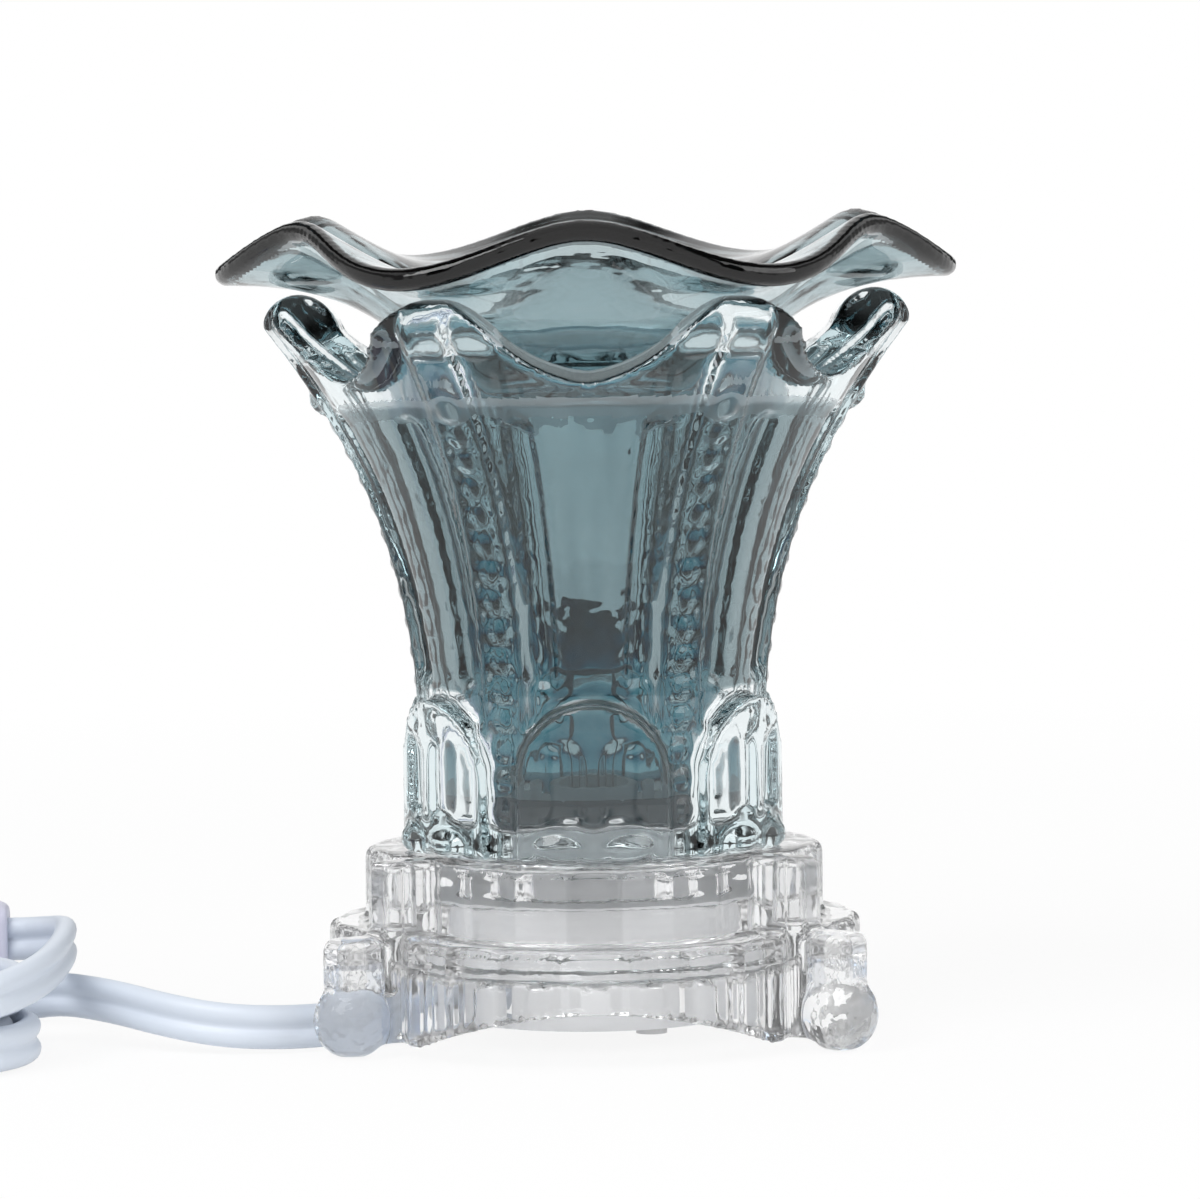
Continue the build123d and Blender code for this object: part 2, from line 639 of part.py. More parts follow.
def route_radii(points):
    """The largest tangent arc at each corner: a share of the shorter run over the half turn's tangent."""
    radii = []
    for before, corner, after in zip(points, points[1:], points[2:]):
        arrive = Vector(*corner) - Vector(*before)
        leave = Vector(*after) - Vector(*corner)
        turn = arrive.get_angle(leave)
        radii.append(RUN_SHARE * min(arrive.length, leave.length) / tan(radians(turn / 2)))
    return radii


def hank_path():
    """Loops that spiral in on the floor, climb a layer on the innermost far run, and spiral out on top."""
    centre_y = HANK_FAR_Y - HANK_OUTER_RADIUS
    left_x = HANK_RIGHT_X - HANK_RUN
    radii = [HANK_OUTER_RADIUS - HANK_PITCH * k for k in range(HANK_LOOPS + 1)]
    loops = [(radii[k], radii[k], radii[k + 1], CORD_AXIS_Z) for k in range(HANK_LOOPS)]
    loops += [(radii[k + 1], radii[k], radii[k], HANK_TOP_Z) for k in reversed(range(HANK_LOOPS))]
    edges = []
    here = Vector(HANK_RIGHT_X, HANK_FAR_Y, CORD_AXIS_Z)
    for far, near, far_next, height in loops:
        far_left = Vector(left_x, centre_y + far, height)
        near_left = Vector(left_x, centre_y - near, height)
        near_right = Vector(HANK_RIGHT_X, centre_y - near, height)
        far_right = Vector(HANK_RIGHT_X, centre_y + far_next, height)
        edges += far_run(here, far_left)
        edges += half_turn(far_left, near_left, -1)
        edges.append(Line(near_left, near_right))
        edges += half_turn(near_right, far_right, 1)
        here = far_right
    return Wire(edges[:-2])


def half_turn(start, end, side):
    """Two quarter arcs from one run to the next, bulging along X to one side."""
    middle = (start + end) / 2 + Vector(side * (end - start).length / 2, 0, 0)
    first = TangentArc(start, middle, tangent=(side, 0, 0))
    return [first, TangentArc(middle, end, tangent=first % 1)]


def far_run(start, end):
    """A level line, or two tangent arcs in an upright plane where the run climbs a layer."""
    if end.Z == start.Z:
        return [Line(start, end)]
    middle = (start + end) / 2
    first = TangentArc(start, middle, tangent=(-1, 0, 0))
    return [first, TangentArc(middle, end, tangent=first % 1)]


def least_gap(path, spacing):
    """The least distance between far-apart stretches of a path, less the cord's thickness or width."""
    count = ceil(path.length / spacing)
    points = [path @ (k / count) for k in range(count + 1)]
    apart = ceil(4 * CORD_WIDTH / spacing)
    gaps = []
    for i, first in enumerate(points):
        for second in points[i + apart:]:
            level = hypot(first.X - second.X, first.Y - second.Y) - CORD_THICKNESS
            gaps.append(max(level, abs(first.Z - second.Z) - CORD_WIDTH))
    return min(gaps)


def plug_body():
    """A moulded plug lying on its edge: a block that tapers to the cord's nose."""
    back_share, height_share, thick_share = PLUG_SHOULDER
    stations = [
        (0, CORD_WIDTH + 2 * PLUG_NOSE_WALL, CORD_THICKNESS + 2 * PLUG_NOSE_WALL),
        (back_share * PLUG_LENGTH, height_share * PLUG_HEIGHT, thick_share * PLUG_THICKNESS),
        (PLUG_LENGTH, PLUG_HEIGHT, PLUG_THICKNESS),
    ]
    faces = []
    for back, height, thick in stations:
        middle = (PLUG_NOSE_X - back, PLUG_Y, PLUG_HEIGHT / 2)
        plane = Plane(origin=middle, x_dir=(0, 1, 0), z_dir=(-1, 0, 0))
        faces.append(plane * RectangleRounded(thick, height, thick * PLUG_ROUND))
    body = loft(faces, ruled=True)
    for spot, width in zip(blade_spots(), (BLADE_WIDTH, WIDE_BLADE_WIDTH)):
        body -= spot * Box(2 * BLADE_SEAT, BLADE_THICKNESS, width)
    body -= Pos(PLUG_NOSE_X, PLUG_Y, PLUG_HEIGHT / 2) * Box(2 * CORD_SEAT, CORD_THICKNESS, CORD_WIDTH)
    return body


def blade_spots():
    back_x = PLUG_NOSE_X - PLUG_LENGTH
    return [Pos(back_x, PLUG_Y, PLUG_HEIGHT / 2 + side * BLADE_SPACING / 2) for side in (-1, 1)]


def plug_blade(side, width):
    """A flat blade whose tip is rounded, with a hole near the tip."""
    long = BLADE_LENGTH + BLADE_SEAT
    blade = Box(long, BLADE_THICKNESS, width, align=(Align.MAX, Align.CENTER, Align.CENTER))
    tip = blade.faces().sort_by(Axis.X)[0].edges().filter_by(Axis.Y)
    blade = fillet(tip, width * BLADE_TIP_ROUND)
    hole = Rot(90, 0, 0) * Cylinder(BLADE_HOLE_RADIUS, 3 * BLADE_THICKNESS)
    blade -= Pos(BLADE_HOLE_INSET - long, 0, 0) * hole
    return blade_spots()[side] * Pos(BLADE_SEAT, 0, 0) * blade


def main():
    os.makedirs("parts", exist_ok=True)
    nodes = {
        "clear_base": clear_base(),
        "glass_body": glass_body(),
        "wax_dish": wax_dish(),
        "socket_cup": socket_cup(),
        "bottom_cover": bottom_cover(),
        "cover_screws": cover_screws(),
        "lock_ring": lock_ring(),
        "lamp_holder": lamp_holder(),
        "contact_sleeves": contact_sleeves(),
        "lead_wire_live": lead_wire(1),
        "lead_wire_neutral": lead_wire(-1),
        "wire_splices": wire_splices(),
        "bulb_glass": bulb_glass(),
        "bulb_pins": bulb_pins(),
        "bulb_filament": bulb_filament(),
        "cord_lead": cord_stretch(LEAD_ROUTE, "cord_lead"),
        "cord_hank": cord_hank(),
        "cord_tail": cord_stretch(TAIL_ROUTE, "cord_tail"),
        "plug_body": plug_body(),
        "plug_blade_narrow": plug_blade(0, BLADE_WIDTH),
        "plug_blade_wide": plug_blade(1, WIDE_BLADE_WIDTH),
    }
    for name, shape in nodes.items():
        print(name, round(shape.volume, 1), shape.is_valid)
        export_step(shape, f"parts/{name}.step")


main()
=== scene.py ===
from math import atan2, cos, degrees, hypot, pi, radians, sin

import bmesh
import bpy
from mathutils import Matrix, Vector


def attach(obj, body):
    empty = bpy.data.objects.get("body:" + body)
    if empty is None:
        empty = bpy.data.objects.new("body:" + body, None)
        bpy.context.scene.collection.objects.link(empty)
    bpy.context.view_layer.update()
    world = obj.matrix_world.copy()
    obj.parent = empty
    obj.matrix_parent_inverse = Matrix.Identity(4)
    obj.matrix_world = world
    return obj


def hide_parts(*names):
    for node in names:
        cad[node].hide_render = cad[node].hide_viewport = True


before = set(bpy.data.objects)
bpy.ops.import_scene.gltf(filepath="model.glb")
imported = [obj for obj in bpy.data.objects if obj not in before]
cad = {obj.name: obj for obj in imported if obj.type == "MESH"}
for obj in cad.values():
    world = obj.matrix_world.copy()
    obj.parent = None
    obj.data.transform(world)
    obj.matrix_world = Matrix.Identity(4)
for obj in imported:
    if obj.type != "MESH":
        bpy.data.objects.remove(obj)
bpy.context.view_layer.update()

scene = bpy.context.scene
scene.view_settings.view_transform = "Standard"
print("frame loaded:", len(cad), "nodes")


# Camera at the photo's viewing angle
cameraSettings = {
    "eye": (0.0015, -1.035, 0.1427),
    "pitchDown": 4.15,   # degrees
    "rollRight": 0.8,    # degrees, the right side of the picture rises
    "lens": 201.0,
    "sensor": 36.0,
    "nearest": 0.05,
    "farthest": 20.0,
}


def makeCamera(settings):
    data = bpy.data.cameras.new("photoCamera")
    data.lens = settings["lens"]
    data.sensor_width = settings["sensor"]
    data.clip_start = settings["nearest"]
    data.clip_end = settings["farthest"]
    cam = bpy.data.objects.new("photoCamera", data)
    scene.collection.objects.link(cam)
    tilt = Matrix.Rotation(radians(90 - settings["pitchDown"]), 4, "X")
    roll = Matrix.Rotation(radians(-settings["rollRight"]), 4, "Z")
    cam.matrix_world = Matrix.Translation(settings["eye"]) @ tilt @ roll
    scene.camera = cam


makeCamera(cameraSettings)
print("camera set")


# Studio: white paper floor, soft lamps, white surroundings with dark bands that only glass and gloss see
studio = {
    "floorSize": 8.0,
    "floorDrop": 0.0002,
    "floorColour": (0.92, 0.92, 0.92, 1),
    "floorGlow": 0.9,
    "worldStrength": 0.55,
    "ceiling": [(0.0, 1.0), (0.4, 1.0), (0.6, 0.9), (1.0, 0.9)],   # brightness by height, as a sine
    "sideWalls": [                # the same towards either side
        (0.0, 1.0), (0.2, 1.0), (0.28, 0.06), (0.5, 0.06), (0.56, 0.95),
        (0.68, 0.95), (0.74, 0.3), (0.84, 0.3), (0.9, 1.0), (1.0, 1.0),
    ],
    "shadowReach": (0.2, 0.6),   # metres over which the floor turns plain white
    "keyPower": 9.0,
    "keySize": 0.7,
    "keyPlace": (-0.55, -0.75, 1.0),
    "fillPower": 4.0,
    "fillSize": 0.8,
    "fillPlace": (0.8, -0.5, 0.7),
    "lampTarget": (0, 0, 0.06),
}


def mathNode(tree, operation, *values):
    # each value is a number or the output of another node
    node = tree.nodes.new("ShaderNodeMath")
    node.operation = operation
    for socket, value in zip(node.inputs, values):
        if isinstance(value, float):
            socket.default_value = value
        else:
            tree.links.new(value, socket)
    return node.outputs[0]


def whiteForSight(tree):
    # 1 for rays that the eye follows: straight, mirrored or through glass
    path = tree.nodes.new("ShaderNodeLightPath")
    outside = mathNode(tree, "MAXIMUM", path.outputs["Is Camera Ray"], path.outputs["Is Glossy Ray"])
    return mathNode(tree, "MAXIMUM", outside, path.outputs["Is Transmission Ray"])


def brightnessRamp(tree, stops, value):
    ramp = tree.nodes.new("ShaderNodeValToRGB")
    marks = ramp.color_ramp.elements
    for k, (place, level) in enumerate(stops):
        mark = marks[0] if k == 0 else marks[-1] if k == len(stops) - 1 else marks.new(place)
        mark.color = (level, level, level, 1)
    tree.links.new(value, ramp.inputs[0])
    return ramp.outputs[0]


def makeWorld(settings):
    world = bpy.data.worlds.new("whiteStudio")
    scene.world = world
    world.use_nodes = True
    tree = world.node_tree
    tree.nodes.clear()
    sight = whiteForSight(tree)
    plain = tree.nodes.new("ShaderNodeBackground")
    plain.inputs["Color"].default_value = (1, 1, 1, 1)
    plain.inputs["Strength"].default_value = settings["worldStrength"]
    white = tree.nodes.new("ShaderNodeBackground")
    white.inputs["Color"].default_value = (1, 1, 1, 1)
    place = tree.nodes.new("ShaderNodeTexCoord")
    split = tree.nodes.new("ShaderNodeSeparateXYZ")
    tree.links.new(place.outputs["Generated"], split.inputs[0])
    ceiling = brightnessRamp(tree, settings["ceiling"], split.outputs["Z"])
    sideways = mathNode(tree, "ABSOLUTE", split.outputs["X"])
    sideWalls = brightnessRamp(tree, settings["sideWalls"], sideways)
    room = mathNode(tree, "MULTIPLY", ceiling, sideWalls)
    path = tree.nodes.new("ShaderNodeLightPath")
    strength = mathNode(tree, "MAXIMUM", path.outputs["Is Camera Ray"], room)
    tree.links.new(strength, white.inputs["Strength"])
    mix = tree.nodes.new("ShaderNodeMixShader")
    out = tree.nodes.new("ShaderNodeOutputWorld")
    tree.links.new(sight, mix.inputs[0])
    tree.links.new(plain.outputs[0], mix.inputs[1])
    tree.links.new(white.outputs[0], mix.inputs[2])
    tree.links.new(mix.outputs[0], out.inputs["Surface"])


def makeLamp(kind, settings):
    name = kind + "Softbox"
    data = bpy.data.lights.new(name, "AREA")
    data.energy = settings[kind + "Power"]
    data.shape = "SQUARE"
    data.size = settings[kind + "Size"]
    lamp = bpy.data.objects.new(name, data)
    scene.collection.objects.link(lamp)
    lamp.location = settings[kind + "Place"]
    aim = Vector(settings["lampTarget"]) - lamp.location
    lamp.rotation_euler = aim.to_track_quat("-Z", "Y").to_euler()


def meshFrom(bm, name):
    mesh = bpy.data.meshes.new(name)
    bm.to_mesh(mesh)
    bm.free()
    return mesh


def makeFloor(settings):
    bm = bmesh.new()
    bmesh.ops.create_grid(bm, x_segments=1, y_segments=1, size=settings["floorSize"] / 2)
    mesh = meshFrom(bm, "paperFloor")
    floor = bpy.data.objects.new("paperFloor", mesh)
    scene.collection.objects.link(floor)
    floor.location = (0, 0, -settings["floorDrop"])
    material = bpy.data.materials.new("paperFloor")
    material.use_nodes = True
    tree = material.node_tree
    tree.nodes.clear()
    sight = whiteForSight(tree)
    place = tree.nodes.new("ShaderNodeTexCoord")
    away = tree.nodes.new("ShaderNodeVectorMath")
    away.operation = "LENGTH"
    fade = tree.nodes.new("ShaderNodeMapRange")
    fade.inputs["From Min"].default_value = settings["shadowReach"][0]
    fade.inputs["From Max"].default_value = settings["shadowReach"][1]
    fade.inputs["To Min"].default_value = settings["floorGlow"]
    fade.inputs["To Max"].default_value = 1.0
    tree.links.new(place.outputs["Object"], away.inputs[0])
    tree.links.new(away.outputs["Value"], fade.inputs["Value"])
    share = mathNode(tree, "MULTIPLY", sight, fade.outputs["Result"])
    paper = tree.nodes.new("ShaderNodeBsdfDiffuse")
    paper.inputs["Color"].default_value = settings["floorColour"]
    glow = tree.nodes.new("ShaderNodeEmission")
    glow.inputs["Color"].default_value = (1, 1, 1, 1)
    glow.inputs["Strength"].default_value = 1.0
    mix = tree.nodes.new("ShaderNodeMixShader")
    out = tree.nodes.new("ShaderNodeOutputMaterial")
    tree.links.new(share, mix.inputs[0])
    tree.links.new(paper.outputs[0], mix.inputs[1])
    tree.links.new(glow.outputs[0], mix.inputs[2])
    tree.links.new(mix.outputs[0], out.inputs["Surface"])
    mesh.materials.append(material)


makeWorld(studio)
makeLamp("key", studio)
makeLamp("fill", studio)
makeFloor(studio)
print("studio lit")


# Shared finish: soft clouding of a colour, with matching roughness and a fine height
grainSettings = {"cloudDetail": 3.0, "grainDetail": 2.0, "bump": 0.05, "depth": 0.0002}


def makeGrainGroup():
    group = bpy.data.node_groups.new("mouldedGrain", "ShaderNodeTree")
    face = group.interface
    for name in ("Cloud Scale", "Grain Scale", "Amount", "Roughness"):
        face.new_socket(name, in_out="INPUT", socket_type="NodeSocketFloat")
    face.new_socket("Colour", in_out="INPUT", socket_type="NodeSocketColor")
    face.new_socket("Colour", in_out="OUTPUT", socket_type="NodeSocketColor")
    face.new_socket("Roughness", in_out="OUTPUT", socket_type="NodeSocketFloat")
    face.new_socket("Height", in_out="OUTPUT", socket_type="NodeSocketFloat")
    nodes, links = group.nodes, group.links
    inside = nodes.new("NodeGroupInput")
    outside = nodes.new("NodeGroupOutput")
    place = nodes.new("ShaderNodeTexCoord")
    cloud = nodes.new("ShaderNodeTexNoise")
    grain = nodes.new("ShaderNodeTexNoise")
    cloud.inputs["Detail"].default_value = grainSettings["cloudDetail"]
    grain.inputs["Detail"].default_value = grainSettings["grainDetail"]
    links.new(place.outputs["Object"], cloud.inputs["Vector"])
    links.new(place.outputs["Object"], grain.inputs["Vector"])
    links.new(inside.outputs["Cloud Scale"], cloud.inputs["Scale"])
    links.new(inside.outputs["Grain Scale"], grain.inputs["Scale"])
    amount = inside.outputs["Amount"]
    negative = mathNode(group, "MULTIPLY", amount, -1.0)
    shade = mathNode(group, "MULTIPLY_ADD", cloud.outputs["Fac"], negative, 1.0)   # 1 - amount * cloud
    tint = nodes.new("ShaderNodeMix")
    tint.data_type = "RGBA"
    tint.blend_type = "MULTIPLY"
    tint.inputs["Factor"].default_value = 1.0
    links.new(inside.outputs["Colour"], tint.inputs["A"])
    links.new(shade, tint.inputs["B"])
    links.new(tint.outputs["Result"], outside.inputs["Colour"])
    rough = mathNode(group, "MULTIPLY_ADD", cloud.outputs["Fac"], amount, inside.outputs["Roughness"])
    links.new(rough, outside.inputs["Roughness"])
    links.new(grain.outputs["Fac"], outside.inputs["Height"])
    return group


mouldedGrain = makeGrainGroup()


def startFinish(name):
    material = bpy.data.materials.new(name)
    material.use_nodes = True
    tree = material.node_tree
    return material, tree, tree.nodes["Principled BSDF"]


def addEffect(tree, shader, group, values, bump, depth):
    # a shared group, with its roughness and height on the shader
    effect = tree.nodes.new("ShaderNodeGroup")
    effect.node_tree = group
    for name, value in values.items():
        effect.inputs[name].default_value = value
    relief = tree.nodes.new("ShaderNodeBump")
    relief.inputs["Strength"].default_value = bump
    relief.inputs["Distance"].default_value = depth
    tree.links.new(effect.outputs["Roughness"], shader.inputs["Roughness"])
    tree.links.new(effect.outputs["Height"], relief.inputs["Height"])
    tree.links.new(relief.outputs["Normal"], shader.inputs["Normal"])
    return effect


def mouldedFinish(name, colour, roughness, cloud, grain, amount, metallic=0.0):
    material, tree, shader = startFinish(name)
    shader.inputs["Metallic"].default_value = metallic
    values = {
        "Cloud Scale": cloud,
        "Grain Scale": grain,
        "Amount": amount,
        "Roughness": roughness,
        "Colour": (*colour, 1),
    }
    effect = addEffect(tree, shader, mouldedGrain, values, grainSettings["bump"], grainSettings["depth"])
    tree.links.new(effect.outputs["Colour"], shader.inputs["Base Color"])
    return material


# Shared finish: the slow ripple that a mould leaves in glass, with a little haze on its crests
rippleSettings = {"detail": 2.0, "hazeFrom": 0.55, "hazeTo": 0.8, "haze": 0.05, "depth": 0.001}


def makeRippleGroup():
    group = bpy.data.node_groups.new("mouldRipple", "ShaderNodeTree")
    face = group.interface
    face.new_socket("Ripple Scale", in_out="INPUT", socket_type="NodeSocketFloat")
    face.new_socket("Height", in_out="OUTPUT", socket_type="NodeSocketFloat")
    face.new_socket("Roughness", in_out="OUTPUT", socket_type="NodeSocketFloat")
    nodes, links = group.nodes, group.links
    inside = nodes.new("NodeGroupInput")
    outside = nodes.new("NodeGroupOutput")
    place = nodes.new("ShaderNodeTexCoord")
    wave = nodes.new("ShaderNodeTexNoise")
    wave.inputs["Detail"].default_value = rippleSettings["detail"]
    haze = nodes.new("ShaderNodeMapRange")
    haze.inputs["From Min"].default_value = rippleSettings["hazeFrom"]
    haze.inputs["From Max"].default_value = rippleSettings["hazeTo"]
    haze.inputs["To Min"].default_value = 0.0
    haze.inputs["To Max"].default_value = rippleSettings["haze"]
    links.new(place.outputs["Object"], wave.inputs["Vector"])
    links.new(inside.outputs["Ripple Scale"], wave.inputs["Scale"])
    links.new(wave.outputs["Fac"], haze.inputs["Value"])
    links.new(wave.outputs["Fac"], outside.inputs["Height"])
    links.new(haze.outputs["Result"], outside.inputs["Roughness"])
    return group


mouldRipple = makeRippleGroup()


# Glass; tint comes from the depth of the glass, or from a colour on its surface
def glassFinish(name, tint, density, ripple, scale, clear=1.0, ior=1.5, colour=(1, 1, 1), shade=None):
    material, tree, shader = startFinish(name)
    shader.inputs["Base Color"].default_value = (*colour, 1)
    shader.inputs["Transmission Weight"].default_value = clear
    shader.inputs["IOR"].default_value = ior
    addEffect(tree, shader, mouldRipple, {"Ripple Scale": scale}, ripple, rippleSettings["depth"])
    if shade:   # the piece carries a painted shade, facet by facet
        own = tree.nodes.new("ShaderNodeVertexColor")
        own.layer_name = shade
        tree.links.new(own.outputs["Color"], shader.inputs["Base Color"])
    absorb = tree.nodes.new("ShaderNodeVolumeAbsorption")
    absorb.inputs["Color"].default_value = (*tint, 1)
    absorb.inputs["Density"].default_value = density
    tree.links.new(absorb.outputs[0], tree.nodes["Material Output"].inputs["Volume"])
    return material


# Glass too thin to bend the light
def thinFinish(name, colour, roughness, cover):
    material, _, shader = startFinish(name)
    shader.inputs["Base Color"].default_value = (*colour, 1)
    shader.inputs["Roughness"].default_value = roughness
    shader.inputs["Alpha"].default_value = cover
    return material


# tint of the glass and how fast it deepens, for each kind
dishTint = (0.12, 0.32, 0.37), 40.0
bodyTint = (0.5, 0.75, 0.8), 12.0
smokeTint = (0.18, 0.33, 0.365), 250.0
baseTint = (0.9, 0.95, 1.0), 4.0
smokedGlass = glassFinish("smokedGlass", *dishTint, ripple=0.15, scale=70.0, colour=(0.62, 0.71, 0.73))
# painted shade: a dark copy of the dish glass, for the rim's dark edge
dishRimPaintedShade = glassFinish("dishRimPaintedShade", *dishTint, ripple=0.15, scale=70.0, colour=(0.24, 0.26, 0.27))
bodyGlass = glassFinish("bodyGlass", *bodyTint, ripple=0.15, scale=70.0)
bodyInside = glassFinish("bodyInside", *bodyTint, ripple=0.3, scale=110.0, colour=(0.9, 0.94, 0.95))
bodyFootInside = glassFinish("bodyFootInside", *bodyTint, ripple=0.2, scale=110.0, colour=(0.34, 0.43, 0.45))
# painted shade: a near-black band inside the body's foot, for the dark lines its glass shows there
bodyFootPaintedShade = glassFinish("bodyFootPaintedShade", *bodyTint, ripple=0.2, scale=110.0, colour=(0.07, 0.09, 0.1))
# painted light: a paler, half-milky copy of the body glass, so the band under the rim and the notches' walls
# read light where the glass alone shows dark
bodyPaintedLight = glassFinish("bodyPaintedLight", *bodyTint, ripple=0.15, scale=70.0, clear=0.5, colour=(0.88, 0.94, 0.98))
bodySmoke = glassFinish("bodySmoke", *smokeTint, ripple=0.0, scale=70.0, ior=1.0)
# the base's glass is lightened and darkened facet by facet with painted shade
clearGlass = glassFinish(
    "clearGlass", *baseTint, ripple=0.2, scale=130.0, clear=0.94, ior=1.42, shade="facetPaintedShade",
)
footGlass = glassFinish("footGlass", *baseTint, ripple=0.9, scale=260.0, clear=0.9, ior=1.3)
bulbGlass = thinFinish("bulbGlass", (0.95, 0.97, 1.0), roughness=0.04, cover=0.05)

cordVinyl = mouldedFinish("cordVinyl", (0.72, 0.78, 0.87), 0.38, cloud=40.0, grain=700.0, amount=0.06)
plugVinyl = mouldedFinish("plugVinyl", (0.76, 0.76, 0.9), 0.4, cloud=50.0, grain=800.0, amount=0.06)
whiteNylon = mouldedFinish("whiteNylon", (0.96, 0.97, 0.99), 0.45, cloud=50.0, grain=800.0, amount=0.05)
glazedCeramic = mouldedFinish("glazedCeramic", (0.86, 0.85, 0.8), 0.2, cloud=90.0, grain=500.0, amount=0.08)
wireSleeve = mouldedFinish("wireSleeve", (0.8, 0.8, 0.78), 0.5, cloud=120.0, grain=1500.0, amount=0.1)
spliceNylon = mouldedFinish("spliceNylon", (0.72, 0.76, 0.8), 0.4, cloud=120.0, grain=1500.0, amount=0.1)
pinSteel = mouldedFinish(
    "pinSteel", (0.6, 0.6, 0.61), 0.3, cloud=200.0, grain=2500.0, amount=0.2, metallic=1.0,
)
contactBrass = mouldedFinish(
    "contactBrass", (0.72, 0.53, 0.24), 0.28, cloud=150.0, grain=2500.0, amount=0.2, metallic=1.0,
)
filamentMetal = mouldedFinish(
    "filamentMetal", (0.3, 0.3, 0.32), 0.5, cloud=400.0, grain=4000.0, amount=0.2, metallic=1.0,
)
print("finishes made")

# Nodes that are shown as they are
nodeFinishes = {
    "socket_cup": whiteNylon,
    "bottom_cover": whiteNylon,
    "cover_screws": pinSteel,
    "lock_ring": whiteNylon,
    "lamp_holder": glazedCeramic,
    "contact_sleeves": contactBrass,
    "lead_wire_live": wireSleeve,
    "lead_wire_neutral": wireSleeve,
    "wire_splices": spliceNylon,
    "bulb_pins": pinSteel,
    "bulb_filament": filamentMetal,
    "plug_blade_narrow": contactBrass,
    "plug_blade_wide": contactBrass,
}
for node, finish in nodeFinishes.items():
    cad[node].data.materials.clear()
    cad[node].data.materials.append(finish)


mergeGap = 1e-6   # metres, for the loose triangles of a node's mesh and the seam of a lathed one


def placePiece(name, mesh, finish, body, slot, *nodes):
    piece = bpy.data.objects.new(name, mesh)
    scene.collection.objects.link(piece)
    mesh.materials.clear()
    mesh.materials.append(finish)
    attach(piece, body)
    if nodes:
        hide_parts(*nodes)
    return piece


def paintFaces(mesh, finishes, choose):
    # the first finish is already on the mesh
    for finish in finishes[1:]:
        mesh.materials.append(finish)
    for face in mesh.polygons:
        face.material_index = finishes.index(choose(face))


def mergedCopy(node):
    # the node's own mesh is left alone
    bm = bmesh.new()
    bm.from_mesh(cad[node].data)
    bmesh.ops.remove_doubles(bm, verts=bm.verts, dist=mergeGap)
    return bm


def softenedCopy(node, voxel, rounds, extra=None):
    # the node's shape as one even skin, with the edges eased as fire-polished glass has them
    bm = mergedCopy(node)
    if extra:
        bm.from_mesh(extra)
    holder = bpy.data.objects.new(node + "_skin", meshFrom(bm, node + "_skin"))
    scene.collection.objects.link(holder)
    remesh = holder.modifiers.new("evenSkin", "REMESH")
    remesh.mode = "VOXEL"
    remesh.voxel_size = voxel
    skin = bpy.data.meshes.new_from_object(holder.evaluated_get(bpy.context.evaluated_depsgraph_get()))
    bpy.data.objects.remove(holder)
    bm = bmesh.new()
    bm.from_mesh(skin)
    for _ in range(rounds):
        bmesh.ops.smooth_vert(
            bm, verts=bm.verts, factor=0.5, use_axis_x=True, use_axis_y=True, use_axis_z=True,
        )
    for face in bm.faces:
        face.smooth = True
    bm.to_mesh(skin)
    bm.free()
    print(node, "skin:", len(skin.polygons), "faces")
    return skin


# Smoked layer of the cased glass: a lathed shell inside the wall, with upright streaks
smoke = {
    "top": 0.1008,
    "bottom": 0.0545,
    "step": 0.0013,
    "near": 0.0003,        # metres out from the bore
    "far": 0.0031,
    "sides": 240,
    "streak": 0.0006,
    "waves": [(11, 60, 0), (23, 0, 1.7), (41, -90, 0)],   # times round, rise and start of each wave
}


def boreRows():
    shell = cad["glass_body"]
    steps = round((smoke["top"] - smoke["bottom"]) / smoke["step"])
    rows = []
    for k in range(steps + 1):
        z = smoke["bottom"] + (smoke["top"] - smoke["bottom"]) * k / steps
        place = shell.ray_cast(Vector((0, 0, z)), Vector((1, 0, 0)))[1]
        rows.append((place.x, z))
    return rows


def streakLayer(bm, rows):
    middle = (smoke["near"] + smoke["far"]) / 2
    for vert in bm.verts:
        turn = atan2(vert.co.x, -vert.co.y)
        bore = min(rows, key=lambda row: abs(row[1] - vert.co.z))[0]
        reach = hypot(vert.co.x, vert.co.y)
        if reach > bore + middle:
            waves = [sin(count * turn + rise * vert.co.z + start) for count, rise, start in smoke["waves"]]
            vert.co.xy *= 1 + smoke["streak"] * sum(waves) / len(waves) / reach


def makeSmoke():
    rows = boreRows()
    bm = bmesh.new()
    near = [bm.verts.new((bore + smoke["near"], 0, z)) for bore, z in rows]
    far = [bm.verts.new((bore + smoke["far"], 0, z)) for bore, z in reversed(rows)]
    ring = near + far
    edges = [bm.edges.new((ring[k - 1], ring[k])) for k in range(len(ring))]
    bmesh.ops.spin(
        bm, geom=ring + edges, cent=(0, 0, 0), axis=(0, 0, 1), angle=2 * pi, steps=smoke["sides"],
        use_merge=True,
    )
    bmesh.ops.remove_doubles(bm, verts=bm.verts, dist=mergeGap)
    bmesh.ops.recalc_face_normals(bm, faces=bm.faces)
    streakLayer(bm, rows)
    for face in bm.faces:
        face.smooth = True
    placePiece("smoked_layer", meshFrom(bm, "smoked_layer"), bodySmoke, "base", "smoked_glass")


